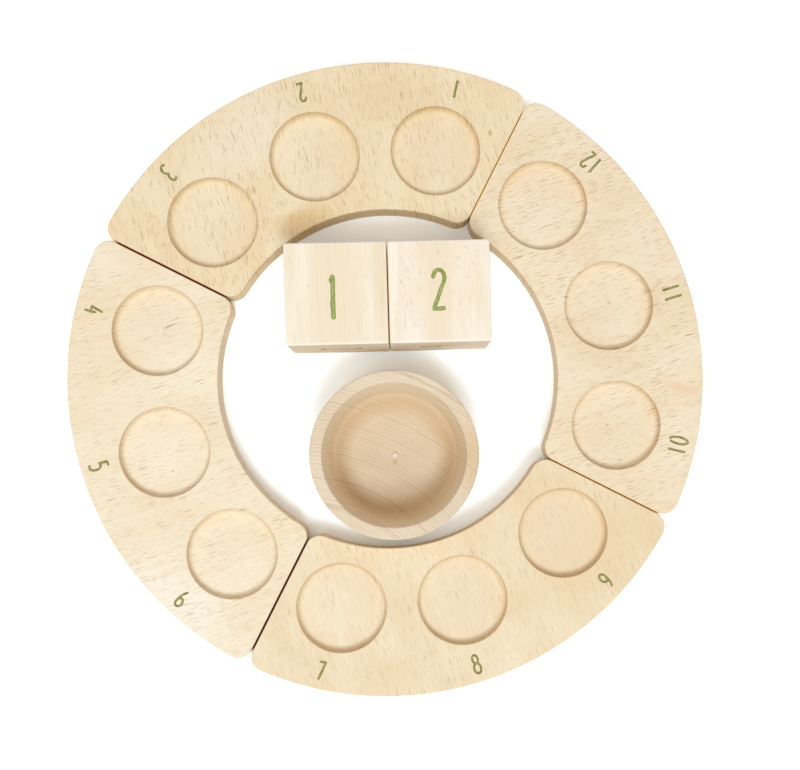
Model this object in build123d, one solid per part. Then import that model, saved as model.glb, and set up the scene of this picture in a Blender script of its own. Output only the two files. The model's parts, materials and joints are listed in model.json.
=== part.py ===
from build123d import *
import os
from math import cos, radians, sin, sqrt

# A perpetual calendar of loose wooden pieces that stand on a table: four quarter rings with
# three round recesses each, two date cubes and a small turned bowl inside the ring.
# The origin is on the table at the ring's centre. +X points right and +Y points up for a
# reader who looks down on the table, and +Z points up from it. Lengths are in millimetres and
# angles in degrees, counter-clockwise from +X.

# ---- Driving dimensions ----

# Date cubes: two equal cubes side by side, a little turned on the table.
CUBE_SIZE = 45.0
CUBE_EDGE_ROUND = 1.0
CUBE_GAP = 0.35
CUBE_PAIR_TURN = 1.7

# Bowl: turned, upright outside and narrower towards the floor inside, with a cove where the wall
# meets the floor and a small nib at the floor's centre. The wall is measured at the rim.
BOWL_DIAMETER = 75.0
BOWL_HEIGHT = 40.0
BOWL_WALL = 5.5
BOWL_FLOOR = 6.0
BOWL_INSIDE_TAPER = 3.5
BOWL_COVE = 6.0
BOWL_RIM_ROUND = 0.8
BOWL_FOOT_ROUND = 4.0
BOWL_DIRECTION = -85.4
NIB_DIAMETER = 3.0
NIB_HEIGHT = 1.0
NIB_ROUND = 0.7

# Free space that the loose pieces keep inside the ring.
CUBE_TO_RING = 3.4
BOWL_TO_RING = 4.8
BOWL_TO_CUBES = 11.4

# Ring: four equal quarters, laid on the table with their ends nearly touching.
RING_WIDTH = 67.5
RING_THICKNESS = 18.0
SEAM_GAP = 0.35
SEAM_DIRECTION = 63.5
SEGMENT_CORNER_ROUND = 7.0
SEGMENT_EDGE_ROUND = 0.6

# Recesses: shallow round hollows, one for each month.
RECESS_DIAMETER = 41.0
RECESS_DEPTH = 5.0
RECESS_COVE = 2.8
RECESS_LIP_ROUND = 0.4
RECESS_TO_HOLE = 8.7

# Twelve months in four seasons give three recesses to a segment, in counter-clockwise order.
MONTH_STEP = 30.0
MONTHS_PER_SEGMENT = 3
SEGMENT_SPAN = MONTH_STEP * MONTHS_PER_SEGMENT
SEGMENT_NAMES = [
    "ring_segment_months_1_to_3",
    "ring_segment_months_4_to_6",
    "ring_segment_months_7_to_9",
    "ring_segment_months_10_to_12",
]

# ---- Sizes that follow ----

# The hole in the ring is just wide enough for the cubes and the bowl with their free space.
# From the far side of the cubes down to the hole's edge, the column holds a cube, the free
# space, the bowl and its clearance. The cubes' outer corners keep CUBE_TO_RING from the hole's
# edge. Both together give one equation for the hole's radius, and this is its solution.
pair_half_width = CUBE_SIZE + CUBE_GAP / 2
column = CUBE_SIZE + BOWL_TO_CUBES + BOWL_DIAMETER + BOWL_TO_RING
hole_radius = (column**2 + pair_half_width**2 - CUBE_TO_RING**2) / (2 * (column - CUBE_TO_RING))
outer_radius = hole_radius + RING_WIDTH

cube_far_side_y = sqrt((hole_radius - CUBE_TO_RING) ** 2 - pair_half_width**2)
cube_pair_y = cube_far_side_y - CUBE_SIZE / 2
cube_offset = (CUBE_SIZE + CUBE_GAP) / 2

bowl_radius = BOWL_DIAMETER / 2
bowl_inside_radius = bowl_radius - BOWL_WALL
bowl_distance = hole_radius - BOWL_TO_RING - bowl_radius

recess_radius = RECESS_DIAMETER / 2
recess_circle_radius = hole_radius + RECESS_TO_HOLE + recess_radius

# The cove leaves a short upright wall under the lip's rounding.
recess_wall = 0.2
recess_cove = min(RECESS_COVE, RECESS_DEPTH - RECESS_LIP_ROUND - recess_wall)


# ---- Pieces ----


def segment_plan():
    """The outline of a quarter ring centred on +X, with round corners and half a gap each end."""
    half_span = radians(SEGMENT_SPAN / 2)
    tip = SEAM_GAP / 2 / sin(half_span)
    reach = 2 * outer_radius
    far_x = tip + reach * cos(half_span)
    far_y = reach * sin(half_span)
    wedge = Polygon((tip, 0), (far_x, -far_y), (far_x, far_y), align=None)
    sector = (Circle(outer_radius) - Circle(hole_radius)) & wedge
    return fillet(sector.vertices(), SEGMENT_CORNER_ROUND)


def recess_shape():
    """The space that a recess leaves: a disc below z = 0 whose floor meets its wall in a cove."""
    disc = Cylinder(recess_radius, RECESS_DEPTH, align=(Align.CENTER, Align.CENTER, Align.MAX))
    return fillet(disc.edges().group_by(Axis.Z)[0], recess_cove)


def ring_segment():
    """A quarter ring centred on +X, with its recesses and softly rounded edges."""
    board = extrude(segment_plan(), RING_THICKNESS)
    for month in range(MONTHS_PER_SEGMENT):
        angle = (month - (MONTHS_PER_SEGMENT - 1) / 2) * MONTH_STEP
        place = Rot(Z=angle) * Pos(recess_circle_radius, 0, RING_THICKNESS)
        board -= place * recess_shape()
    top = board.faces().sort_by(Axis.Z)[-1]
    bottom = board.faces().sort_by(Axis.Z)[0]
    lips = [edge for wire in top.inner_wires() for edge in wire.edges()]
    board = fillet(lips, RECESS_LIP_ROUND)
    rims = top.outer_wire().edges() + bottom.edges()
    return fillet(rims, SEGMENT_EDGE_ROUND)


def date_cube():
    """A cube that stands on the table, with every edge softly rounded."""
    block = Box(CUBE_SIZE, CUBE_SIZE, CUBE_SIZE, align=(Align.CENTER, Align.CENTER, Align.MIN))
    return fillet(block.edges(), CUBE_EDGE_ROUND)


def turned_bowl():
    """A round bowl that stands on the table: coved floor, rounded rim and foot, and a wall that is
    upright outside and leans outwards inside."""
    on_base = (Align.CENTER, Align.CENTER, Align.MIN)
    body = Cylinder(bowl_radius, BOWL_HEIGHT, align=on_base)
    floor_radius = bowl_inside_radius - BOWL_INSIDE_TAPER
    inside = Cone(floor_radius, bowl_inside_radius, BOWL_HEIGHT - BOWL_FLOOR, align=on_base)
    inside = fillet(inside.edges().group_by(Axis.Z)[0], BOWL_COVE)
    nib = Cylinder(NIB_DIAMETER / 2, NIB_HEIGHT, align=on_base)
    nib = fillet(nib.edges().group_by(Axis.Z)[-1], NIB_ROUND)
    body -= Pos(Z=BOWL_FLOOR) * inside
    body = fillet(body.edges().group_by(Axis.Z)[-1], BOWL_RIM_ROUND)
    body = fillet(body.edges().group_by(Axis.Z)[0], BOWL_FOOT_ROUND)
    return body + Pos(Z=BOWL_FLOOR) * nib


# ---- Assembly ----

pieces = {}
for index, name in enumerate(SEGMENT_NAMES):
    middle = SEAM_DIRECTION + SEGMENT_SPAN * (index + 0.5)
    pieces[name] = Rot(Z=middle) * ring_segment()

cube_pair = Pos(0, cube_pair_y, 0) * Rot(Z=CUBE_PAIR_TURN)
pieces["tens_cube"] = cube_pair * Pos(-cube_offset, 0, 0) * date_cube()
pieces["units_cube"] = cube_pair * Pos(cube_offset, 0, 0) * date_cube()
pieces["bowl"] = Rot(Z=BOWL_DIRECTION) * Pos(bowl_distance, 0, 0) * turned_bowl()

os.makedirs("parts", exist_ok=True)
for name, piece in pieces.items():
    piece.label = name
    export_step(piece, f"parts/{name}.step")

print(f"hole {2 * hole_radius:.2f} mm, ring {2 * outer_radius:.2f} mm")
print(f"recess circle radius {recess_circle_radius:.2f} mm")
print(f"cube pair centre y {cube_pair_y:.2f} mm, bowl distance {bowl_distance:.2f} mm")
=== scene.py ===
# %% [markdown]
# # A perpetual calendar in beech
#
# The object is a set of loose wooden pieces on a table: a ring sawn into four quarters, with a
# shallow round recess for each month, two cubes that show the day, and a small turned bowl.
# The solids come finished from the CAD model. This lesson gives them what wood has: the grain
# that runs through each block, the flecks of beech, the little faults, and the painted numbers.
# It ends with a table, soft light and a camera that looks down.

# %% Load the solids
import json
from math import atan2, ceil, cos, degrees, pi, radians, sin, sqrt

import bpy
import numpy as np
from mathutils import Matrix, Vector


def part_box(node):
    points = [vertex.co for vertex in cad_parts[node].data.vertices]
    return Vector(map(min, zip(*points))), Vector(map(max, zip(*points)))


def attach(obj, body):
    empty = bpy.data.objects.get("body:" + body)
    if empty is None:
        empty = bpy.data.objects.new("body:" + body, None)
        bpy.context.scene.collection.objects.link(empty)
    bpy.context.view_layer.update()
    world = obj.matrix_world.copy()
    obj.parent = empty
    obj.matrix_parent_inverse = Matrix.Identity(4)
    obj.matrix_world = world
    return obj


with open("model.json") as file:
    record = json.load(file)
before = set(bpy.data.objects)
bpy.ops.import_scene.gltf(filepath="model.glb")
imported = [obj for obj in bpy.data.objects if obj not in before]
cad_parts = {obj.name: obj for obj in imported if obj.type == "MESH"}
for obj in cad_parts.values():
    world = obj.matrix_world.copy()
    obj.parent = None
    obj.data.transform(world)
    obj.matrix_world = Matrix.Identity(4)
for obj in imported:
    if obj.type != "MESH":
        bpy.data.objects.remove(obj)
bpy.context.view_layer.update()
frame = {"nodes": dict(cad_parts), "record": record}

print("nodes:", ", ".join(sorted(frame["nodes"])))

# %% [markdown]
# ## Measure the frame
#
# Everything that is added later sits on the solids, so its place is worked out from them and
# never typed in twice. The record states a free box inside each recess, and the middle of that
# box is the recess's centre. A quarter ring's own direction is that of its middle month.

# %% Measure the frame
MM = 0.001
MONTHS = range(1, 13)
MONTHS_PER_SEGMENT = 3

openings = frame["record"]["physics"]["openings"]
free_boxes = {opening["name"]: np.array(opening["box_m"]) for opening in openings}
recess_centre = {month: free_boxes[f"month_{month}_recess"].mean(axis=0) for month in MONTHS}
recess_angle = {month: atan2(recess_centre[month][1], recess_centre[month][0]) for month in MONTHS}

segments = {}
for first in MONTHS[::MONTHS_PER_SEGMENT]:
    last = first + MONTHS_PER_SEGMENT - 1
    segments[f"ring_segment_months_{first}_to_{last}"] = range(first, last + 1)

segment_of = {month: name for name, months in segments.items() for month in months}
ring_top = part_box(segment_of[1])[1].z
ring_radius = max(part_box(name)[1].x for name in segments)
print(f"ring: {2 * ring_radius / MM:.1f} mm across, {ring_top / MM:.1f} mm thick")


def middle_of(name):
    """The middle of a solid's box."""
    low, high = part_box(name)
    return (low + high) / 2


cube_step = middle_of("units_cube") - middle_of("tens_cube")
cube_turn = atan2(cube_step.y, cube_step.x)
cube_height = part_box("tens_cube")[1].z
print(f"cubes: {cube_height / MM:.1f} mm high, turned by {degrees(cube_turn):.2f} degrees")

# %% [markdown]
# ## Helpers for materials
#
# A material in Blender is a small graph of nodes. Written out in full, each node takes four or
# five lines, so one function adds a node, sets its properties and joins up its sockets. A socket
# may be given by its name or by its number, and a node given as a value passes on its first
# output. Colours are written as a painter's hex codes, which are sRGB, and one function turns
# them into the linear light that the shaders work in. A solid comes with a plain material in its
# slots, and a new one takes its place there.

# %% Helpers for materials
def linear(hex_code):
    """A hex colour as linear RGBA. A share c of full becomes ((c + 0.055) / 1.055) to the power
    2.4, and c / 12.92 where it is very dark."""
    shares = [int(hex_code[i : i + 2], 16) / 255 for i in (1, 3, 5)]
    light = [((c + 0.055) / 1.055) ** 2.4 if c > 0.04045 else c / 12.92 for c in shares]
    return (*light, 1.0)


def add(tree, kind, sockets=None, **properties):
    """Adds a shader node of a kind, sets its properties, and fills or links its sockets."""
    node = tree.nodes.new("ShaderNode" + kind)
    for name, value in properties.items():
        setattr(node, name, value)
    for key, value in (sockets or {}).items():
        free = [socket for socket in node.inputs if socket.enabled]
        socket = free[key] if isinstance(key, int) else next(s for s in free if s.name == key)
        if isinstance(value, bpy.types.Node):
            value = next(output for output in value.outputs if output.enabled)
        if isinstance(value, bpy.types.NodeSocket):
            tree.links.new(value, socket)
        else:
            socket.default_value = value
    return node


def mix(tree, share, colour, ink, blend_type="MIX"):
    """A colour that turns towards an ink, given as a hex code, by a share from 0 to 1."""
    sockets = {0: share, 1: colour, 2: linear(ink)}
    return add(tree, "Mix", sockets, data_type="RGBA", blend_type=blend_type)


def new_material(name):
    """An empty node material and its tree."""
    material = bpy.data.materials.new(name)
    material.use_nodes = True
    material.node_tree.nodes.clear()
    return material, material.node_tree


def dress(name, material):
    """Puts a material on every slot of a solid."""
    for slot in frame["nodes"][name].material_slots:
        slot.material = material
    print(f"{name}: {material.name}")


# %% [markdown]
# ## Beech, as a solid
#
# Beech is a pale, even wood. Three things tell it from other woods:
#
# - its rays: thin ribbons of cells that run from the heart to the bark. Where a face cuts them
#   across, each shows as a short dark dash along the grain; where a face follows them, they show
#   as broad pale flakes;
# - its year rings: soft, close lines that a flat face cuts into wide, faint bands;
# - its colour: cream, with slow drifts towards pink.
#
# A picture wrapped around the pieces would break at every edge. A solid texture doesn't: it gives
# each point in space its colour, as in a real block, so dashes on the top go on down the wall.
# Each board has its own frame: x along the grain, y across it, z from the heart to the bark.
# Lengths are in millimetres from here on, because the Mapping node divides by a thousandth.

# %% Frame of a board, and its slow wander
SLOW_BENDS = (5.0, 90.0, 34.0)  # how far the grain strays, and how long and wide a bend is


def grain_noise(tree, point, length, width, detail=3.0, roughness=0.6):
    """A noise from 0 to 1 whose spots have a length along the grain and a width across it."""
    stretch = (1 / length, 1 / width, 1 / width)
    scaled = add(tree, "VectorMath", {0: point, 1: stretch}, operation="MULTIPLY")
    settings = {"Scale": 1.0, "Detail": detail, "Roughness": roughness}
    return add(tree, "TexNoise", {"Vector": scaled, **settings})


def board_coordinates(tree, centre, grain_turn, shift, bends):
    """Three places in a board's own frame, in millimetres: the plain one; the one that slides
    across the grain by a slow noise, as grain bends; and that one moved through the endless
    noise by a shift, so that no two boards look alike."""
    place = add(tree, "TexCoord").outputs["Object"]
    still = add(tree, "Mapping", {
        "Vector": place, "Location": centre, "Rotation": grain_turn, "Scale": (MM, MM, MM),
    }, vector_type="TEXTURE")
    amount, length, width = bends
    moved = add(tree, "VectorMath", {0: still, 1: shift}, operation="ADD")
    slow = grain_noise(tree, moved, length, width, detail=1.0, roughness=0.5).outputs["Color"]
    centred = add(tree, "VectorMath", {0: slow, 1: (0.5, 0.5, 0.5)}, operation="SUBTRACT")
    stray = add(tree, "VectorMath", {0: centred, 1: (0.0, amount, amount)}, operation="MULTIPLY")
    bent = add(tree, "VectorMath", {0: still, 1: stray}, operation="ADD")
    return still, bent, add(tree, "VectorMath", {0: bent, 1: shift}, operation="ADD")


# %% [markdown]
# ### Ray flecks
#
# Space is cut into cells by a Voronoi texture. Each cell holds one ray, an ellipsoid that is a
# few millimetres long, a few tenths wide and very deep. The cell's random colour decides whether
# its ray shows and how dark it is, so no two dashes are alike and none repeats. Some layers of
# rays fill only a region: a soft ellipsoid in the board, such as where the grain turns aside.

# %% Ray flecks
SPOT_CORE = 0.2  # the part of a soft spot that has its full ink
RAY_CORE = 0.35  # and that of a ray
FAINTEST_RAY = 0.15  # as a share of the darkest one of its layer


def soft_edge(tree, q, core):
    """From 1 where |q| is no more than the core's share to 0 where it is 1."""
    size = add(tree, "VectorMath", {0: q}, operation="LENGTH")
    fall = {"Value": size, "From Min": 1.0, "From Max": core}
    return add(tree, "MapRange", fall, interpolation_type="SMOOTHSTEP")


def soft_ellipsoid(tree, place, centre, half_size, turn=0.0):
    """From 1 in the core of an ellipsoid to 0 at its edge, where |q| = 1. Its centre and half
    sizes are in the units of the place, and its turn about z in degrees."""
    q = add(tree, "Mapping", {
        "Vector": place, "Location": centre, "Rotation": (0.0, 0.0, radians(turn)),
        "Scale": half_size,
    }, vector_type="TEXTURE")
    return soft_edge(tree, q, SPOT_CORE)


def rays(tree, point, still, cell, half_size, share, depth, turn=0.0, region=None):
    """How much ink a layer of rays lays at a point, from 0 to 1. With q the vector from the
    cell's seed to the point, divided by the ray's half sizes, it is full where |q| is small and
    falls to 0 at |q| = 1. The rays lie along the grain, or turned from it by some degrees."""
    if turn:
        angle = radians(-turn)
        point = add(tree, "VectorRotate", {"Vector": point, "Angle": angle}, rotation_type="Z_AXIS")
    scaled = add(tree, "VectorMath", {0: point, 1: tuple(1 / c for c in cell)}, operation="MULTIPLY")
    voronoi = add(tree, "TexVoronoi", {"Vector": scaled, "Scale": 1.0, "Randomness": 1.0})
    offset = add(tree, "VectorMath", {0: scaled, 1: voronoi.outputs["Position"]}, operation="SUBTRACT")
    stretch = tuple(c / h for c, h in zip(cell, half_size))
    q = add(tree, "VectorMath", {0: offset, 1: stretch}, operation="MULTIPLY")
    chance = add(tree, "SeparateColor", {"Color": voronoi.outputs["Color"]}).outputs["Red"]
    strength = add(tree, "MapRange", {
        "Value": chance, "From Min": 1.0 - share, "To Min": FAINTEST_RAY * depth, "To Max": depth,
    })
    drawn = add(tree, "Math", {0: chance, 1: 1.0 - share}, operation="GREATER_THAN")
    factors = [strength, drawn]
    if region:
        factors.append(soft_ellipsoid(tree, still, *region))
    ink = soft_edge(tree, q, RAY_CORE)
    for factor in factors:
        ink = add(tree, "Math", {0: ink, 1: factor}, operation="MULTIPLY")
    return ink


# %% [markdown]
# ### Year rings
#
# Year rings are tubes around the tree's heart, so their pattern needs only the distance from a
# line: the heart, which runs along the grain somewhere below or beside the board. Summer wood
# darkens slowly and ends at a sharp line, so the wave is a saw tooth, not a sine. No two years
# are equally wide or dark.

# %% Year rings
WOBBLE_SIZE = (125.0, 50 / 3)  # how long and wide a ring's bend is
YEARS_SCALE = 0.25  # per year: how quickly wide years give way to narrow ones
YEARS_STRAY = 3.0  # in years: how far that moves a ring
LATE_WOOD_END = 0.88  # the part of a year at which the late wood begins to stop
FAINTEST_YEAR = 0.2  # as a share of the darkest one


def from_axis(tree, place):
    """The distance from the x axis."""
    flat = add(tree, "VectorMath", {0: place, 1: (0.0, 1.0, 1.0)}, operation="MULTIPLY")
    return add(tree, "VectorMath", {0: flat}, operation="LENGTH")


def year_rings(tree, bent, heart, ring_width, wobble, sharpness):
    """From 0 in spring wood to 1 in late wood. The distance r from the line through y, z = heart
    along the grain, with a noise of place and a noise of r alone, is divided by the ring width.
    The part after the decimal point, raised to the sharpness, is the saw tooth, and the part
    before it gives each year its strength."""
    across = add(tree, "VectorMath", {0: bent, 1: (0.0, -heart[0], -heart[1])}, operation="ADD")
    radius = from_axis(tree, across)
    noise = grain_noise(tree, bent, *WOBBLE_SIZE, detail=2.0, roughness=0.5)
    wobbled = add(tree, "Math", {0: noise, 1: wobble * 2, 2: radius}, operation="MULTIPLY_ADD")
    pace = {"W": radius, "Scale": YEARS_SCALE / ring_width, "Detail": 1.0}
    years = add(tree, "TexNoise", pace, noise_dimensions="1D")
    stray = {0: years, 1: YEARS_STRAY * ring_width, 2: wobbled}
    uneven = add(tree, "Math", stray, operation="MULTIPLY_ADD")
    count = add(tree, "Math", {0: uneven, 1: ring_width}, operation="DIVIDE")
    part = add(tree, "Math", {0: count}, operation="FRACT")
    tooth = add(tree, "Math", {0: part, 1: sharpness}, operation="POWER")
    fall = add(tree, "MapRange", {"Value": part, "From Min": 1.0, "From Max": LATE_WOOD_END})
    year = add(tree, "Math", {0: count}, operation="FLOOR")
    chance = add(tree, "TexWhiteNoise", {"W": year}, noise_dimensions="1D")
    strength = add(tree, "MapRange", {"Value": chance, "To Min": FAINTEST_YEAR})
    wave = add(tree, "Math", {0: tooth, 1: fall}, operation="MULTIPLY")
    return add(tree, "Math", {0: wave, 1: strength}, operation="MULTIPLY")


# %% [markdown]
# ### Small faults
#
# No board is without a pin knot or a dark streak, and a few of them make wood believable. Each
# fault is one soft ellipsoid at a given place, measured from the table's centre.

# %% Small faults
def spots(tree, colour, faults):
    """A colour with faults on it, each given by its centre and half size in millimetres, its turn
    in degrees and its colour."""
    for centre, half_size, turn, ink in faults:
        place = add(tree, "TexCoord").outputs["Object"]
        in_metres = [tuple(length * MM for length in lengths) for lengths in (centre, half_size)]
        colour = mix(tree, soft_ellipsoid(tree, place, *in_metres, turn), colour, ink)
    return colour


# %% [markdown]
# ### The whole board
#
# Sanded, unvarnished beech is matt: light goes into the fibres and comes back scattered, so the
# roughness is high and nothing mirrors. The colour is built up as the wood is: the ground
# colour, the drift to pink, broad patches, the year rings, the fibres, then the rays and the
# faults. Drift and fibres are one kind of noise, stretched along the grain: wide for the drift,
# and so narrow for the fibres that it looks like brush hairs. Where a face cuts the fibres' ends
# it drinks in light, so end grain is a little darker. Last come the tints, which paint shade and
# light onto a piece, such as in the seams between the ring's quarters.

# %% The whole board
WOOD_IOR = 1.5
END_GRAIN = "#F0ECE6"
HAIR = (14.0, 0.6)  # a bundle of fibres, coarser than real ones so that it shows
HAIR_RANGE = {"From Min": 0.3, "From Max": 0.7}  # the part of the fibres' noise that counts
HAIR_RELIEF = 0.03  # in millimetres
DRY, DRIEST = 0.62, 0.74  # roughness
CROWD_SIZE = 20.0  # how far apart places with many and with few rays lie, in millimetres


def end_grain(tree, grain_turn):
    """How much a face cuts the fibres' ends, from 0 to 0.6. It grows with |n . g|, where n is the
    face's normal and g the grain's direction."""
    normal = add(tree, "TexCoord").outputs["Normal"]
    along = {"Vector": (1.0, 0.0, 0.0), "Rotation": grain_turn}
    grain_line = add(tree, "VectorRotate", along, rotation_type="EULER_XYZ")
    facing = add(tree, "VectorMath", {0: normal, 1: grain_line}, operation="DOT_PRODUCT")
    facing = add(tree, "Math", {0: facing}, operation="ABSOLUTE")
    limits = {"From Min": 0.45, "To Max": 0.6}
    return add(tree, "MapRange", {"Value": facing, **limits}, interpolation_type="SMOOTHSTEP")


def matt_surface(tree, colour, hair):
    """Bare wood of a colour, with the fibres' noise as its relief and its dryness."""
    relief = add(tree, "Bump", {"Height": hair, "Strength": 0.35, "Distance": HAIR_RELIEF * MM})
    dryness = add(tree, "MapRange", {"Value": hair, **HAIR_RANGE, "To Min": DRY, "To Max": DRIEST})
    surface = add(tree, "BsdfPrincipled", {
        "Base Color": colour, "Roughness": dryness, "Normal": relief,
        "IOR": WOOD_IOR, "Specular IOR Level": 0.35,
    })
    add(tree, "OutputMaterial", {"Surface": surface})


def beech(name, centre, grain_turn, shift, ground, pink, ring_ink, ray_ink, heart, ring_width,
          ring_depth, ray_layers, fleck=1.0, patches=(), faults=(), tints=(), bends=SLOW_BENDS,
          wobble=1.6, sharpness=2.6, drift_size=(40.0, 22.0), fibre_depth=0.022):
    """Sanded beech for one block. Depths are shares from 0, none, to 1, the full ink, and fleck
    is the board's factor on those of its rays. Patches lie under the rays and faults over them.
    A tint is a function of the tree and the board's plain place that gives a share, with its
    colour and how the two blend; the tints paint shade and light onto the board."""
    material, tree = new_material(name)
    still, bent, point = board_coordinates(tree, centre, grain_turn, shift, bends)

    drift = grain_noise(tree, point, *drift_size)
    drift_share = add(tree, "MapRange", {"Value": drift, "From Min": 0.38, "From Max": 0.66})
    colour = mix(tree, drift_share, linear(ground), pink)
    colour = spots(tree, colour, patches)

    rings = year_rings(tree, bent, heart, ring_width, wobble, sharpness)
    ring_share = add(tree, "Math", {0: rings, 1: ring_depth}, operation="MULTIPLY")
    colour = mix(tree, ring_share, colour, ring_ink)

    hair = grain_noise(tree, point, *HAIR)
    hair_share = add(tree, "MapRange", {
        "Value": hair, **HAIR_RANGE, "To Min": 1.0 - fibre_depth, "To Max": 1.0 + fibre_depth,
    })
    colour = add(tree, "VectorMath", {0: colour, "Scale": hair_share}, operation="SCALE")

    crowd = add(tree, "TexNoise", {"Vector": point, "Scale": 1 / CROWD_SIZE, "Detail": 1.0})
    crowd_share = add(tree, "MapRange", {
        "Value": crowd, "From Min": 0.35, "From Max": 0.6, "To Min": 0.6 * fleck, "To Max": fleck,
    })
    for layer in ray_layers:
        ray = rays(tree, point, still, **layer)
        ray_share = add(tree, "Math", {0: ray, 1: crowd_share}, operation="MULTIPLY", use_clamp=True)
        colour = mix(tree, ray_share, colour, ray_ink)

    colour = spots(tree, colour, faults)

    colour = mix(tree, end_grain(tree, grain_turn), colour, END_GRAIN, blend_type="MULTIPLY")
    for tint_share, tint_colour, blend_type in tints:
        colour = mix(tree, tint_share(tree, still), colour, tint_colour, blend_type)
    matt_surface(tree, colour, hair)
    return material


# %% [markdown]
# ## Painted shade and light on the ring
#
# At the upper edges of the quarters' ends a tint paints the shade in the seams: dark brown in two,
# faint in a third, while the fourth is made golden, painted light. In a board's frame the two ends
# lie at 45 degrees to either side of x. The steep walls of the recesses are darkened a little,
# painted shade, and their floors are made a little paler than the sanded top, painted light. Each
# mark is a function that gives the share of its tint at a point, from the point's distance to the
# edge or the recess.

# %% Painted shade and light on the ring
SEAM_SHADING = (0.66, 0.38)  # from a sawn end, in millimetres: where the seam's painted shade and light start, and where they are full
EDGE_FADE = (1.5, 3.5)  # below a piece's top: where the tints of its edges fade, and where they end
RECESS_WALL_SHADE = (18.4, 19.8, 20.6, 20.9)  # from a recess's middle: where its painted shade grows and ends
RECESS_FLOOR_LIGHT = (17.2, 18.6)  # where the floor's painted light begins to fade, and where it ends
FLOOR_LIGHT_SHARE = 0.12
BACK_DEPTH = ring_top / MM / 2  # no recess reaches so deep

recess_circle = float(np.hypot(*recess_centre[1][:2])) / MM
month_step = recess_angle[2] - recess_angle[1]


def band(tree, value, start, full, fade, end):
    """From 0 at the start to 1 where it is full, and from 1 where it fades to 0 at the end."""
    rise = add(tree, "MapRange", {"Value": value, "From Min": start, "From Max": full})
    fall = add(tree, "MapRange", {"Value": value, "From Min": end, "From Max": fade})
    return add(tree, "Math", {0: rise, 1: fall}, operation="MULTIPLY")


def to_recess(tree, still):
    """The distance from the nearest recess's middle. With |y| in place of y the outer two months
    become one. Points near the underside count as far away."""
    parts = add(tree, "SeparateXYZ", {"Vector": still}).outputs
    side = add(tree, "Math", {0: parts["Y"]}, operation="ABSOLUTE")
    folded = add(tree, "CombineXYZ", {"X": parts["X"], "Y": side})
    distances = []
    for angle in (0.0, month_step):
        middle = (recess_circle * cos(angle), recess_circle * sin(angle), 0.0)
        distances.append(add(tree, "VectorMath", {0: folded, 1: middle}, operation="DISTANCE"))
    nearest = add(tree, "Math", {0: distances[0], 1: distances[1]}, operation="MINIMUM")
    under = add(tree, "Math", {0: parts["Z"], 1: -BACK_DEPTH}, operation="LESS_THAN")
    return add(tree, "Math", {0: under, 1: 2 * recess_circle, 2: nearest}, operation="MULTIPLY_ADD")


def recess_wall(tree, still):
    """1 in the steep wall of a recess, where its painted shade lies."""
    return band(tree, to_recess(tree, still), *RECESS_WALL_SHADE)


def recess_floor(tree, still):
    """The floor's small share of painted light, which fades to 0 where the cove begins."""
    return add(tree, "MapRange", {
        "Value": to_recess(tree, still), "From Min": RECESS_FLOOR_LIGHT[1], "From Max": RECESS_FLOOR_LIGHT[0],
        "To Max": FLOOR_LIGHT_SHARE,
    })


def near_top(tree, still, top):
    """1 in the uppermost part of a piece, with a fade to 0 below it."""
    height = add(tree, "SeparateXYZ", {"Vector": still}).outputs["Z"]
    limits = {"From Min": top - EDGE_FADE[1], "From Max": top - EDGE_FADE[0]}
    return add(tree, "MapRange", {"Value": height, **limits})


def sawn_end(side):
    """The share's function of the painted shade and light at one end: -1 is the clockwise end and
    1 the other. The distance from that end is (x - side y) / sqrt(2), and the share rises to 1 as
    that distance falls."""
    def share(tree, still):
        across = (1 / sqrt(2), -side / sqrt(2), 0.0)
        distance = add(tree, "VectorMath", {0: still, 1: across}, operation="DOT_PRODUCT")
        limits = {"Value": distance, "From Min": SEAM_SHADING[0], "From Max": SEAM_SHADING[1]}
        near = add(tree, "MapRange", limits, interpolation_type="SMOOTHSTEP")
        return add(tree, "Math", {0: near, 1: near_top(tree, still, 0.0)}, operation="MULTIPLY")

    return share


# %% [markdown]
# ## Dress the ring
#
# The quarters were cut so that the grain runs through the middle month of each, out from the
# centre. So it runs away from the reader in the far and the near quarter, and sideways in the
# other two. Each comes from its own board, a little lighter or darker, so each has its own heart
# and its own shift through the endless noise.

# %% Dress the ring
# Each layer of rays: the cell, the ray's half size, the share of cells that hold one, and the
# depth of its ink.
RING_RAYS = (
    dict(cell=(7.2, 1.4, 12.0), half_size=(2.9, 0.2, 13.0), share=0.92, depth=0.88),
    dict(cell=(4.8, 1.3, 12.0), half_size=(1.7, 0.17, 10.0), share=0.55, depth=0.65),
    dict(cell=(18.0, 5.0, 30.0), half_size=(3.6, 0.3, 20.0), share=0.5, depth=1.0),
)

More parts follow.
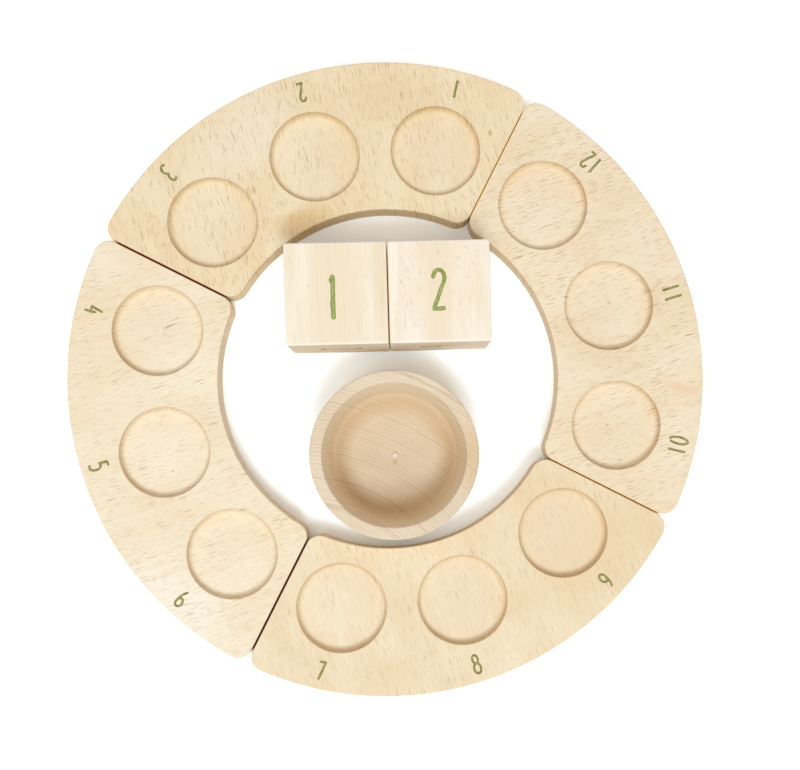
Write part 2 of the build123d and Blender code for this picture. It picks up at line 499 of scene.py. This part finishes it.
# The boards by the first month of their quarter. Patches and faults: centre, half size, turn in
# degrees, colour.
boards = {
    1: dict(
        fleck=0.95, ground="#F6E5C3", pink="#F1DAB2", shift=(310.0, 40.0, 0.0), heart=(24.0, -70.0),
        patches=(
            ((-3.0, 128.0, 18.0), (26.0, 18.0, 20.0), 0.0, "#F0D9B3"),
            # painted shadow of the tens cube on the ring's inner edge
            ((-39.0, 72.0, 18.0), (20.0, 9.0, 20.0), 20.0, "#EACB9A"),
            ((-66.0, 108.0, 18.0), (34.0, 24.0, 20.0), 35.0, "#F7E7CA"),
        ),
        faults=(
            ((46.4, 113.0, 18.0), (1.4, 2.3, 2.0), 0.0, "#D9B27E"),
            ((-32.6, 100.7, 13.0), (1.0, 2.4, 1.5), 35.0, "#E9C49C"),
            ((-41.5, 103.0, 13.0), (0.8, 2.4, 1.5), 12.0, "#EACBA4"),
        ),
    ),
    4: dict(
        fleck=0.7, ground="#FAEDD2", pink="#F6E3C2", shift=(-120.0, 215.0, 60.0),
        heart=(-30.0, -90.0), patches=(
            ((-106.0, 28.0, 16.0), (28.0, 22.0, 20.0), 0.0, "#F5E4C4"),
            ((-96.0, -106.0, 18.0), (46.0, 30.0, 20.0), -45.0, "#FDF3DF"),
        ),
        faults=(
            ((-99.8, 23.9, 13.0), (4.6, 0.42, 1.2), 25.0, "#9E6C34"),
            ((-96.6, 27.6, 13.0), (1.6, 0.3, 1.0), 30.0, "#D9B27E"),
            ((-98.2, -42.3, 13.0), (1.3, 0.4, 1.2), 20.0, "#CFA06A"),
        ),
    ),
    7: dict(
        fleck=0.6, ground="#F6E6C6", pink="#F0DAB5", shift=(75.0, -330.0, 20.0),
        heart=(8.0, -60.0), patches=(
            ((90.0, -76.0, 16.0), (44.0, 34.0, 20.0), 40.0, "#EFD8B1"),
            ((35.0, -100.0, 14.0), (24.0, 24.0, 20.0), 0.0, "#F0DCB8"),
            ((0.0, -134.0, 18.0), (26.0, 12.0, 20.0), 0.0, "#F1DCB8"),
        ),
    ),
    10: dict(
        fleck=0.95, ground="#F7E8CB", pink="#F3DDBA", shift=(500.0, 130.0, -45.0),
        heart=(-14.0, -80.0), patches=(
            ((97.0, 14.0, 18.0), (24.0, 16.0, 20.0), 0.0, "#F1DCB9"),
        ),
        faults=(
            ((135.0, -4.0, 18.0), (12.0, 3.0, 3.0), -20.0, "#F2D5B2"),
            ((138.4, 20.6, 18.0), (3.4, 0.45, 1.5), 16.0, "#C99C6C"),
            ((102.0, 35.6, 13.0), (1.5, 0.9, 1.0), 20.0, "#E2B48A"),
            ((101.0, -21.0, 13.0), (1.5, 0.9, 1.0), 10.0, "#E2B48A"),
            ((68.5, 80.9, 13.0), (1.2, 0.6, 1.0), 40.0, "#DDB285"),
        ),
    ),
}

# The tint of each seam, by the first month of the quarter that follows it: painted shade where it
# darkens, painted light where it is mixed towards gold. Both ends that meet there have it.
seam_shading_tints = {
    1: ("#FFDFA2", "MIX"),
    4: ("#A04A12", "MULTIPLY"),
    7: ("#7A3006", "MULTIPLY"),
    10: ("#F8DDB2", "MULTIPLY"),
}
ray_turns = {1: -5.0}  # degrees by which a board's rays lean from its grain, where they do

for name, months in segments.items():
    first, middle, last = months
    ends = ((-1.0, seam_shading_tints[first]), (1.0, seam_shading_tints[last % len(MONTHS) + 1]))
    material = beech(
        f"sanded_beech_quarter_{first}",
        centre=(0.0, 0.0, ring_top),
        grain_turn=(0.0, 0.0, recess_angle[middle]),
        ring_ink="#E3C393", ray_ink="#A5804A", ring_width=3.4, ring_depth=0.3,
        ray_layers=[{**layer, "turn": ray_turns.get(first, 0.0)} for layer in RING_RAYS],
        tints=(
            # painted shade and light: at the seams, on the recess walls and on the recess floors
            *((sawn_end(side), *tint) for side, tint in ends),
            (recess_wall, "#F4EFE8", "MULTIPLY"),
            (recess_floor, "#FFFAF0", "MIX"),
        ),
        **boards[first],
    )
    dress(name, material)

# %% [markdown]
# ## Dress the cubes
#
# The cubes are cut from paler, straight-grained wood. The tens cube's top shows broad, faint
# bands that run away from the reader. The units cube was cut beside a branch: on its top the rays
# run away from the reader on the left, at a slant in the middle and nearly sideways at the far
# right, so each region has its own layer of rays. Every edge is made paler over its rounding, a
# painted highlight, but the upper edges where the cubes face each other are browned instead:
# painted shade in the gap between them.
# In a cube's frame an edge is where two of |x|, |y| and |z| are large.

# %% Dress the cubes
cube_half = cube_height / MM / 2
EDGE_HIGHLIGHT = (1.3, 0.3)  # below the half size: where the painted highlight on an edge starts, and where it is full
EDGE_HIGHLIGHT_SHARE = 0.7
GAP_EDGE_SHADE = (0.55, 0.15)  # and the same for the painted shade on an edge that faces the other cube


def sanded_edge(tree, still):
    """The share of the painted highlight rises where the middle one of |x|, |y| and |z| comes close to
    the half size. The middle of three is the largest of the smaller ones of each pair."""
    size = add(tree, "VectorMath", {0: still}, operation="ABSOLUTE")
    parts = add(tree, "SeparateXYZ", {"Vector": size}).outputs
    pairs = ("XY", "YZ", "XZ")
    smaller = [add(tree, "Math", {0: parts[a], 1: parts[b]}, operation="MINIMUM") for a, b in pairs]
    larger = add(tree, "Math", {0: smaller[0], 1: smaller[1]}, operation="MAXIMUM")
    middle = add(tree, "Math", {0: larger, 1: smaller[2]}, operation="MAXIMUM")
    return add(tree, "MapRange", {
        "Value": middle, "From Min": cube_half - EDGE_HIGHLIGHT[0], "From Max": cube_half - EDGE_HIGHLIGHT[1],
        "To Max": EDGE_HIGHLIGHT_SHARE,
    }, interpolation_type="SMOOTHSTEP")


def rubbed_edge(side):
    """The share's function for the painted shade on the upper edge that faces the other cube, on the
    side of y that is given as -1 or 1. The share rises from 0 to 1 over the edge's rounding."""
    def share(tree, still):
        parts = add(tree, "SeparateXYZ", {"Vector": still}).outputs
        across = add(tree, "Math", {0: parts["Y"], 1: side}, operation="MULTIPLY")
        limits = {"From Min": cube_half - GAP_EDGE_SHADE[0], "From Max": cube_half - GAP_EDGE_SHADE[1]}
        near = add(tree, "MapRange", {"Value": across, **limits})
        high = near_top(tree, still, cube_half)
        return add(tree, "Math", {0: near, 1: high}, operation="MULTIPLY")

    return share


AWAY = (0.0, 0.0, pi / 2 + cube_turn)  # the grain runs away from the reader
# a painted highlight on every edge of a cube
HIGHLIGHT_TINT = (sanded_edge, "#FFFCF2", "MIX")

# Regions of rays are measured in the cube's own frame: x away from the reader, y to the left, z
# upwards. Its inner side is the one that faces the other cube.
cube_looks = {
    "tens_cube": dict(
        shift=(40.0, 7.0, 19.0), ground="#FFF5E2", pink="#F5E4C5", ring_ink="#EBD5B0",
        ray_ink="#BEA984", heart=(-140.0, -6.0), ring_width=4.2, ring_depth=0.32, wobble=2.6,
        drift_size=(95.0, 13.0),
        patches=(((-23.0, 36.0, 45.0), (16.0, 60.0, 40.0), 0.0, "#F8E8CA"),),
        ray_layers=(
            dict(cell=(13.0, 3.4, 12.0), half_size=(4.6, 0.24, 12.0), share=0.7, depth=0.5),
            dict(cell=(7.0, 3.0, 12.0), half_size=(1.8, 0.24, 12.0), share=0.45, depth=0.42),
        ),
        faults=(((-34.6, 38.7, 45.0), (0.6, 1.6, 1.0), -25.0, "#EFD8B6"),),
    ),
    "units_cube": dict(
        shift=(-90.0, 44.0, 3.0), ground="#FFF6E5", pink="#F8E6CB", ring_ink="#F0DABA",
        ray_ink="#8E7458", heart=(150.0, 20.0), ring_width=5.5, ring_depth=0.25,
        bends=(6.0, 26.0, 24.0), drift_size=(60.0, 14.0),
        patches=(((22.0, 38.0, 45.0), (11.0, 60.0, 40.0), 0.0, "#F7E6C9"),),
        ray_layers=(
            dict(cell=(5.0, 2.1, 9.0), half_size=(2.2, 0.38, 8.0), share=0.92, depth=1.0, turn=19.0,
                 region=((0.0, 13.0, 0.0), (36.0, 15.0, 40.0))),
            dict(cell=(5.0, 2.4, 9.0), half_size=(1.9, 0.44, 8.0), share=0.8, depth=0.95, turn=38.0,
                 region=((13.0, 1.0, 0.0), (16.0, 12.0, 40.0))),
            dict(cell=(6.4, 4.2, 9.0), half_size=(2.1, 0.8, 8.0), share=0.8, depth=0.75, turn=60.0,
                 region=((14.0, -13.0, 0.0), (16.0, 14.0, 40.0))),
            dict(cell=(5.6, 3.4, 9.0), half_size=(1.6, 0.4, 8.0), share=0.6, depth=0.7, turn=24.0,
                 region=((-8.0, -12.0, 0.0), (20.0, 14.0, 40.0))),
        ),
    ),
}
inner_sides = {"tens_cube": -1.0, "units_cube": 1.0}

for name, look in cube_looks.items():
    # painted shade on the upper edge of the side that faces the other cube
    gap_shade = (rubbed_edge(inner_sides[name]), "#F0D8AE", "MULTIPLY")
    material = beech(
        f"sanded_beech_{name}", centre=tuple(middle_of(name)), grain_turn=AWAY, fibre_depth=0.03,
        tints=(HIGHLIGHT_TINT, gap_shade), **look,
    )
    dress(name, material)

# %% [markdown]
# ## Dress the bowl
#
# The bowl was turned from an upright block whose heart lay well outside it, so rim and floor show
# end grain: the year rings cross them as close, gentle arcs. Here the rings are deep and the
# flecks faint. The hollow is made a little darker than the rim, most of all in the cove: painted
# shade. The upper wall shows the fibres' sides instead of their ends, and it is also made paler
# there, painted light, which weakens its rings. The nib that the lathe's tool left at the floor's
# centre is made bright, a painted highlight.

# %% Dress the bowl
bowl_middle = middle_of("bowl")
bowl_x, bowl_y = bowl_middle.x / MM, bowl_middle.y / MM
NIB_LEVEL = 6.6  # its height above the table
HOLLOW_SHADE = (-1.0, 0.0, 27.0, 31.0)  # from the axis: where the hollow's painted shade grows and ends
COVE_SHADE = (19.0, 24.5, 27.5, 31.0)  # and where the cove's painted shade does
WALL_LIGHT = (26.0, 30.5, 31.7, 32.1)  # and where the wall's painted light does
WALL_LIGHT_SHARE = 0.45  # the wall's painted light at its strongest


def around_axis(limits, most=1.0):
    """The share's function for a tube around the bowl's axis, with its highest share."""
    def share(tree, still):
        tube = band(tree, from_axis(tree, still), *limits)
        return add(tree, "Math", {0: tube, 1: most}, operation="MULTIPLY")

    return share


bowl_beech = beech(
    "turned_beech_bowl", centre=tuple(bowl_middle), grain_turn=(-pi / 2, -pi / 2, 0.0),
    shift=(0.0, 0.0, 0.0), ground="#F5E5CB", pink="#F0DDC1", ring_ink="#A6825A", ray_ink="#B8946A",
    heart=(-46.0, -96.0), ring_width=1.35, ring_depth=0.82, bends=(1.2, 60.0, 30.0), wobble=0.4,
    sharpness=5.5,
    ray_layers=(dict(cell=(6.0, 1.6, 10.0), half_size=(1.6, 0.14, 3.0), share=0.6, depth=0.45),),
    patches=(((bowl_x + 35.0, bowl_y - 2.0, 40.0), (9.0, 26.0, 30.0), 0.0, "#ECD4AE"),),
    fibre_depth=0.055, tints=(
        # painted shade in the hollow, deeper in the cove, and painted light on the upper wall
        (around_axis(HOLLOW_SHADE), "#F5F4F4", "MULTIPLY"),
        (around_axis(COVE_SHADE), "#F2E8D8", "MULTIPLY"),
        (around_axis(WALL_LIGHT, WALL_LIGHT_SHARE), "#FAEED2", "MIX"),
    ),
    faults=(
        ((bowl_x, bowl_y - 3.2, NIB_LEVEL), (1.7, 2.0, 2.0), 0.0, "#DDC39E"),
        # a painted highlight on the nib
        ((bowl_x, bowl_y, NIB_LEVEL + 0.5), (2.0, 2.0, 1.6), 0.0, "#FFF8E6"),
    ),
)
dress("bowl", bowl_beech)

# %% [markdown]
# ## Numbers, drawn as a brush would
#
# The numbers are painted by hand with a thin round brush, so each is one or two strokes of
# nearly even width with round ends. A stroke is a line through straight runs and arcs of
# ellipses. It is smoothed a little, because a brush cuts corners, and it wavers a little,
# because a hand does. A film of paint is carried along it: its cross-section is a flat lens, half
# of it sunk in the wood. Each digit is drawn in a box of height 1, with its foot at y = 0.

# %% Strokes of the ten digits
ARC_STEP = 12.0  # degrees between points of an arc


def arc(x, y, width, height, start, end):
    """Points on an ellipse: (x + width cos a, y + height sin a), for a from start to end in degrees."""
    count = ceil(abs(end - start) / ARC_STEP) + 1
    angle = np.radians(np.linspace(start, end, count))
    return np.column_stack([x + width * np.cos(angle), y + height * np.sin(angle)])


DIGITS = {
    "0": [[arc(0.19, 0.5, 0.18, 0.5, 105, 462)]],
    "1": [[[(0.17, 1.0), (0.175, 0.8), (0.178, 0.0)]], [[(0.16, 0.93), (0.135, 0.82)]]],
    "2": [[arc(0.155, 0.80, 0.145, 0.20, 190, -15), [(0.01, 0.01), (0.325, 0.03)]]],
    "3": [[arc(0.15, 0.77, 0.16, 0.23, 145, -75), arc(0.14, 0.27, 0.20, 0.27, 80, -140)]],
    "4": [[[(0.21, 1.0), (0.0, 0.36), (0.38, 0.38)]], [[(0.28, 0.66), (0.27, 0.0)]]],
    "5": [[[(0.33, 1.0), (0.06, 0.98), (0.04, 0.56)], arc(0.14, 0.30, 0.20, 0.30, 112, -135)]],
    "6": [[arc(0.36, 0.27, 0.35, 0.75, 112, 176), arc(0.18, 0.24, 0.17, 0.24, 180, 528)]],
    "7": [[[(0.0, 0.97), (0.35, 1.0), (0.13, 0.0)]]],
    "8": [[arc(0.19, 0.77, 0.15, 0.23, -75, 255), arc(0.19, 0.27, 0.19, 0.27, 75, -288)]],
    "9": [[arc(0.18, 0.75, 0.16, 0.25, 5, 365), arc(0.0, 0.74, 0.35, 0.75, 0, -62)]],
}
DIGIT_WIDTH = 0.38

# %% [markdown]
# The next cell turns a stroke into a film. Its surface is a function of two parameters: how far
# along the stroke, and how far around the lens.

# %% A film of paint along a stroke
STATIONS = 96
LENS_SIDES = 12
LENS_ANGLES = np.linspace(0, 2 * pi, LENS_SIDES, endpoint=False)
FILM_HEIGHT = 0.03  # how far the paint stands proud of the wood
CORNER_CUT = 0.022  # the brush's rounding of a corner, as a share of the digit's height
SET_DOWN = 0.8  # the length over which a stroke grows to its full width, in brush widths
LIFT_OFF = 0.5  # and that over which it ends
HAND_WANDER = 0.0028  # how far the hand strays, as a share of the digit's height
RAGGED = 0.12  # how much the film's edges run along the fibres, as a share of its half width
hand = np.random.default_rng(12)


def wander(waves, first=1):
    """A smooth random line: a sum of sines with random heights and phases, from about -1 to 1."""
    t = np.linspace(0, 1, STATIONS)[:, None]
    order = np.arange(first, first + waves)
    height = hand.normal(size=waves)
    phase = hand.uniform(0, 2 * pi, waves)
    return (height * np.sin(2 * pi * order * t + phase)).sum(axis=1) / sqrt(waves)


def walk(line):
    """How far each point of a line is from its start, along it."""
    return np.concatenate([[0.0], np.cumsum(np.linalg.norm(np.diff(line, axis=0), axis=1))])


def even_steps(line, count):
    """The line's points, moved to equal distances along it."""
    distance = walk(line)
    at = np.linspace(0, distance[-1], count)
    return np.column_stack([np.interp(at, distance, line[:, k]) for k in (0, 1)])


def pen_line(parts):
    """One stroke's centre line, with its corners rounded by a moving average."""
    line = even_steps(np.vstack([np.asarray(part, float) for part in parts]), 8 * STATIONS)
    reach = max(1, round(CORNER_CUT / walk(line)[-1] * len(line)))
    window = np.ones(2 * reach + 1) / (2 * reach + 1)
    padded = np.vstack([np.repeat(line[:1], reach, axis=0), line, np.repeat(line[-1:], reach, axis=0)])
    soft = np.column_stack([np.convolve(padded[:, k], window, mode="valid") for k in (0, 1)])
    return even_steps(soft, STATIONS)


def film(parts, height, brush):
    """Points of a closed film, in millimetres: P(s, a) = C(s) + r(s) cos a N(s) + h(s) sin a Z,
    where C is the stroke's centre line, N its side and r its half width. r grows as a quarter
    ellipse where the brush is set down and falls as a quarter circle where it is lifted, and h
    rises slowly along the stroke, so that crossings are never level with each other."""
    line = pen_line(parts) * height
    line += HAND_WANDER * height * np.column_stack([wander(3), wander(3)])
    ahead = np.gradient(line, axis=0)
    ahead /= np.linalg.norm(ahead, axis=1)[:, None]
    side = np.column_stack([-ahead[:, 1], ahead[:, 0]])
    walked = walk(line)
    from_tip = np.minimum(walked / (SET_DOWN * brush), (walked[-1] - walked) / (LIFT_OFF * brush))
    rounding = np.sqrt(np.clip(1 - (1 - np.minimum(from_tip, 1)) ** 2, 0, 1))
    left, right = (1 + RAGGED * (0.6 * wander(5) + 0.5 * wander(14, first=14)) for _ in range(2))
    ragged = np.where(np.cos(LENS_ANGLES) > 0, left[:, None], right[:, None])
    half = brush / 2 * rounding[:, None] * ragged
    rise = FILM_HEIGHT * (0.75 + 0.25 * walked / walked[-1])[:, None] * rounding[:, None]
    points = np.zeros((STATIONS, LENS_SIDES, 3))
    points[..., :2] = line[:, None, :] + (half * np.cos(LENS_ANGLES))[..., None] * side[:, None, :]
    points[..., 2] = rise * np.sin(LENS_ANGLES)
    return points


def film_faces(first):
    """Faces of one film whose vertices start at a number: quads between neighbouring stations and
    a fan of triangles at each of the two tips."""
    corner = np.arange(LENS_SIDES)
    following = (corner + 1) % LENS_SIDES
    stations = first + LENS_SIDES * np.arange(STATIONS - 3)[:, None]
    a, b = stations + corner, stations + following
    quads = np.stack([a, b, b + LENS_SIDES, a + LENS_SIDES], axis=-1).reshape(-1, 4)
    tip = first + (STATIONS - 2) * LENS_SIDES
    last = tip - LENS_SIDES
    start_fan = np.column_stack([first + following, first + corner, np.full(LENS_SIDES, tip)])
    end_fan = np.column_stack([last + corner, last + following, np.full(LENS_SIDES, tip + 1)])
    return quads.tolist() + start_fan.tolist() + end_fan.tolist()


# %% [markdown]
# A whole number is one mesh, placed on its face by two directions. It also stores, for each
# vertex, how near it is to the stroke's edge, because wet paint is pushed there and dries darker.

# %% A painted number
def new_object(name, data):
    """An object in the scene that holds a mesh, a lamp or a camera."""
    made = bpy.data.objects.new(name, data)
    bpy.context.scene.collection.objects.link(made)
    return made


def painted(name, text, height, brush, gap, origin, right, up):
    """A mesh object with a text's digits side by side, centred on a point of a flat face that is
    given by its directions right and up. Lengths are in millimetres, the origin in metres. The
    attribute "edge" is |cos a|, from 0 in a stroke's middle to 1 at its edge."""
    right, up = np.asarray(right, float), np.asarray(up, float)
    out = np.cross(right, up)
    step = DIGIT_WIDTH * height + gap
    whole = step * len(text) - gap
    vertices, edges, faces, count = [], [], [], 0
    for place, digit in enumerate(text):
        for parts in DIGITS[digit]:
            points = film(parts, height, brush)
            points[..., 0] += place * step - whole / 2
            points[..., 1] -= height / 2
            inner = points[1:-1].reshape(-1, 3)
            tips = points[[0, -1]].mean(axis=1)
            vertices.append(np.vstack([inner, tips]))
            lens = np.abs(np.cos(LENS_ANGLES))
            edges.append(np.concatenate([np.tile(lens, STATIONS - 2), [1.0, 1.0]]))
            faces += film_faces(count)
            count += len(inner) + 2
    local = np.vstack(vertices) * MM
    world = np.asarray(origin) + local[:, :1] * right + local[:, 1:2] * up + local[:, 2:] * out
    mesh = bpy.data.meshes.new(name)
    mesh.from_pydata(world.tolist(), [], faces)
    mesh.attributes.new("edge", "FLOAT", "POINT").data.foreach_set("value", np.concatenate(edges))
    mesh.shade_smooth()
    return new_object(name, mesh)


# %% [markdown]
# ## The paint
#
# The paint is a green ink that soaks into bare wood. It dries matt and uneven: darker at a
# stroke's edges and where the brush was wet, lighter where the fibres drank it. Two noises, one
# coarse and one as fine as the fibres, and the edge attribute make that difference.

# %% The paint
POOLS = 0.4  # per millimetre: the noise of wet and dry places
SPECKS = 1.7  # and that of the fibres
INK_IOR = 1.45
INK_ROUGHNESS = 0.75


def ink(name, green, dark, worn, edge_depth):
    """Matt ink whose colour runs between a green, a darker and a worn, lighter green."""
    material, tree = new_material(name)
    place = add(tree, "TexCoord").outputs["Object"]
    millimetres = add(tree, "VectorMath", {0: place, "Scale": 1 / MM}, operation="SCALE")
    pools = add(tree, "TexNoise", {"Vector": millimetres, "Scale": POOLS, "Detail": 2.0})
    wet = {"Value": pools, "From Min": 0.45, "From Max": 0.7, "To Max": 0.6}
    pool_share = add(tree, "MapRange", wet)
    edge = add(tree, "Attribute", attribute_name="edge").outputs["Fac"]
    edge_share = add(tree, "MapRange", {"Value": edge, "From Min": 0.35, "To Max": edge_depth})
    dark_share = add(tree, "Math", {0: pool_share, 1: edge_share}, operation="MAXIMUM")
    grain = {"Vector": millimetres, "Scale": SPECKS, "Detail": 3.0, "Roughness": 0.7}
    specks = add(tree, "TexNoise", grain)
    worn_share = add(tree, "MapRange", {"Value": specks, "From Min": 0.47, "From Max": 0.65})
    colour = mix(tree, worn_share, linear(green), worn)
    colour = mix(tree, dark_share, colour, dark)
    surface = add(tree, "BsdfPrincipled", {
        "Base Color": colour, "Roughness": INK_ROUGHNESS, "IOR": INK_IOR, "Specular IOR Level": 0.3,
    })
    add(tree, "OutputMaterial", {"Surface": surface})
    return material


month_ink = ink("green_ink_months", "#97934A", "#5A5612", "#C8C08A", edge_depth=0.9)
cube_ink = ink("green_ink_cubes", "#9FAC56", "#6F7C28", "#CBD094", edge_depth=0.8)

# %% [markdown]
# ## Number the months
#
# Each recess has its month's number outside it. The digits' heads point to the ring's centre, so
# a reader turns the ring and always finds the lowest number upright.

# %% Number the months
MONTH_HEIGHT = 8.5
MONTH_BRUSH = 1.05
MONTH_GAP = 1.3
MONTH_RADIUS = 136.5
MONTH_LAG = radians(1.4)  # the numbers sit a little clockwise of their recess


def turned_axes(angle):
    """The x and the y direction, turned about z by an angle."""
    return np.array([cos(angle), sin(angle), 0.0]), np.array([-sin(angle), cos(angle), 0.0])


for month in MONTHS:
    outward, along = turned_axes(recess_angle[month] - MONTH_LAG)
    origin = outward * MONTH_RADIUS * MM + np.array([0.0, 0.0, ring_top])
    name = f"month_{month}_number"
    number = painted(name, str(month), MONTH_HEIGHT, MONTH_BRUSH, MONTH_GAP, origin, along, -outward)
    number.data.materials.append(month_ink)
    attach(number, segment_of[month])
print(f"numbers of {MONTH_HEIGHT} mm at {MONTH_RADIUS} mm from the centre")

# %% [markdown]
# ## Number the cubes
#
# Two cubes show every day from 01 to 31. Both need a 0, a 1 and a 2, one carries 3, 4 and 5, and
# the other 6, 7 and 8, where the 6 also stands in for the 9. A cube is picked up and set down in
# any way, so the digits on the other faces lie as they come. Only the brush's width, the height
# and the place differ a little from digit to digit, as they do when a hand paints them.

# %% Number the cubes
x_axis, y_axis = turned_axes(cube_turn)
z_axis = np.array([0.0, 0.0, 1.0])

# For each face: where its digit's right and its head point. Their cross product points outwards.
face_axes = {
    "top": (x_axis, y_axis),
    "front": (-z_axis, x_axis),
    "back": (-x_axis, z_axis),
    "left": (-y_axis, z_axis),
    "right": (z_axis, -y_axis),
    "bottom": (x_axis, -y_axis),
}

# For each face: its digit, the digit's height, the brush, and how far it lies off the middle.
cube_faces = {
    "tens_cube": {
        "top": ("1", 20.2, 2.05, (-1.1, -1.6)), "front": ("3", 17.5, 1.7, (0.6, 0.9)),
        "back": ("0", 18.0, 1.8, (0.3, -0.5)), "left": ("4", 17.6, 1.7, (-0.8, 0.2)),
        "right": ("2", 17.4, 1.8, (0.5, 0.7)), "bottom": ("5", 17.9, 1.7, (0.4, -0.6)),
    },
    "units_cube": {
        "top": ("2", 17.4, 1.75, (0.4, 0.6)), "front": ("6", 17.2, 1.7, (-0.4, 0.3)),
        "back": ("7", 17.8, 1.8, (0.6, 0.2)), "left": ("0", 17.9, 1.7, (-0.5, -0.4)),
        "right": ("1", 17.6, 2.0, (0.2, 0.8)), "bottom": ("8", 17.7, 1.7, (-0.6, 0.5)),
    },
}

for cube, faces in cube_faces.items():
    for face, (digit, height, brush, off) in faces.items():
        right, up = face_axes[face]
        out = np.cross(right, up)
        origin = np.array(middle_of(cube)) + out * cube_height / 2 + (off[0] * right + off[1] * up) * MM
        piece = painted(f"{cube}_{face}_digit", digit, height, brush, 0.0, origin, right, up)
        piece.data.materials.append(cube_ink)
        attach(piece, cube)
    print(cube, "carries", ", ".join(digit for digit, *_ in faces.values()))

# %% [markdown]
# ## The table
#
# The pieces lie on a plain white table, because a mere white background would catch no shadow.
# For the camera's own rays it is brighter than white, as an exposure for pale wood makes it, and a
# little cool, as white balance leaves it. So it reaches white and still shows the shadows. All
# other rays meet a plain white.

# %% Table
TABLE_HALF = 1.2  # in metres
TABLE_WHITE = "#F6F6F8"
SEEN_INSIDE = (1.3, 1.37, 1.42, 1.0)  # the table's colour for the camera alone, past white
# Outside the ring the camera sees the table brighter still: painted light that fades the ring's shadow
# there to white.
SEEN_OUTSIDE = (1.64, 1.67, 1.70, 1.0)
SEEN_FADE = 0.6  # as a share of the ring's radius: where the inside's colour starts to give way

table_mesh = bpy.data.meshes.new("table")
corners = np.array([(-1, -1, 0), (1, -1, 0), (1, 1, 0), (-1, 1, 0)], float) * TABLE_HALF
table_mesh.from_pydata(corners.tolist(), [], [(0, 1, 2, 3)])
table = new_object("table", table_mesh)

table_white, tree = new_material("white_table_top")
place = add(tree, "TexCoord").outputs["Object"]
from_centre = add(tree, "VectorMath", {0: place}, operation="LENGTH")
outside = add(tree, "MapRange", {
    "Value": from_centre, "From Min": SEEN_FADE * ring_radius, "From Max": ring_radius,
})
seen = add(tree, "Mix", {0: outside, 1: SEEN_INSIDE, 2: SEEN_OUTSIDE}, data_type="RGBA")
camera_ray = add(tree, "LightPath").outputs["Is Camera Ray"]
white = add(tree, "Mix", {0: camera_ray, 1: linear(TABLE_WHITE), 2: seen}, data_type="RGBA")
paper = add(tree, "BsdfDiffuse", {"Color": white})
add(tree, "OutputMaterial", {"Surface": paper})
table_mesh.materials.append(table_white)
print(f"table: {2 * TABLE_HALF} m wide")

# %% [markdown]
# ## The light
#
# One big lamp stands high in front of the reader, and a weaker one on the left. The rest comes
# from the walls and the ceiling of a bright room, which are a little warmer than the lamps, so
# shade is warm. Each light is given as a share instead of in watts: together they make a plain 1
# on a level face, so that a colour comes out as it was written.

# %% Light
SKY_LEVEL = 0.48
SKY_COLOUR = np.array([1.07, 0.985, 0.95])
FRONT_LEVEL = 0.36
LEFT_LEVEL = 0.16
LAMP_DISTANCE = 3.0
LAMP_SIZE = 0.9
lamp_colour = (1 - SKY_LEVEL * SKY_COLOUR) / (FRONT_LEVEL + LEFT_LEVEL)
print("lamps' colour:", lamp_colour.round(3))


def lamp(name, azimuth, elevation, level):
    """A square lamp aimed at the table's middle. A white face that lies level there gives back
    level = watts * sin(elevation) / (pi * distance) squared, which is solved for the watts."""
    light = bpy.data.lights.new(name, "AREA")
    light.size = LAMP_SIZE
    light.color = lamp_colour
    light.energy = level * (pi * LAMP_DISTANCE) ** 2 / sin(radians(elevation))
    lamp_object = new_object(name, light)
    a, e = radians(azimuth), radians(elevation)
    lamp_object.location = LAMP_DISTANCE * np.array([cos(a) * cos(e), sin(a) * cos(e), sin(e)])
    lamp_object.rotation_euler = (pi / 2 - e, 0.0, a + pi / 2)
    print(f"{name}: {light.energy:.1f} W")


lamp("front_lamp", azimuth=280.0, elevation=65.0, level=FRONT_LEVEL)
lamp("left_lamp", azimuth=220.0, elevation=74.0, level=LEFT_LEVEL)

world = bpy.data.worlds.new("white_room")
world.use_nodes = True
sky_tree = world.node_tree
sky_tree.nodes.clear()
camera_ray = add(sky_tree, "LightPath").outputs["Is Camera Ray"]
sky_strength = add(sky_tree, "Mix", {0: camera_ray, 1: SKY_LEVEL, 2: 1.0}, data_type="FLOAT")
sky_ends = {0: camera_ray, 1: (*SKY_COLOUR, 1.0), 2: (1.0, 1.0, 1.0, 1.0)}
sky_colour = add(sky_tree, "Mix", sky_ends, data_type="RGBA")
sky = add(sky_tree, "Background", {"Color": sky_colour, "Strength": sky_strength})
add(sky_tree, "OutputWorld", {"Surface": sky})
bpy.context.scene.world = world

# %% [markdown]
# ## The camera
#
# The camera looks almost straight down from arm's length, so the tops show their true shapes and
# only a little of each side wall is seen. It stands a little off the ring's middle, and a shift of
# the sensor brings the ring back into the picture without tilting it.

# %% Camera
IMAGE_WIDTH, IMAGE_HEIGHT = 800, 770
FOCAL_PIXELS = 1426.0
AXIS_PIXEL = (482.5, 440.9)  # where the lens looks straight ahead
SENSOR = 36.0  # in millimetres
CAMERA_PLACE = (8.97, -39.0, 669.9)  # in millimetres
CAMERA_TILT = (0.92, -2.98)  # in degrees about x and y

camera = bpy.data.cameras.new("camera")
camera.sensor_width = SENSOR
camera.lens = FOCAL_PIXELS * SENSOR / IMAGE_WIDTH
camera.shift_x = (IMAGE_WIDTH / 2 - AXIS_PIXEL[0]) / IMAGE_WIDTH
camera.shift_y = (AXIS_PIXEL[1] - IMAGE_HEIGHT / 2) / IMAGE_WIDTH
camera.clip_start = 0.01
camera_object = new_object("camera", camera)
camera_object.location = [length * MM for length in CAMERA_PLACE]
camera_object.rotation_euler = (*np.radians(CAMERA_TILT), 0.0)
bpy.context.scene.camera = camera_object
bpy.context.scene.view_settings.view_transform = "Standard"
print(f"camera: {camera.lens:.1f} mm lens, {CAMERA_PLACE[2]:.0f} mm above the table")
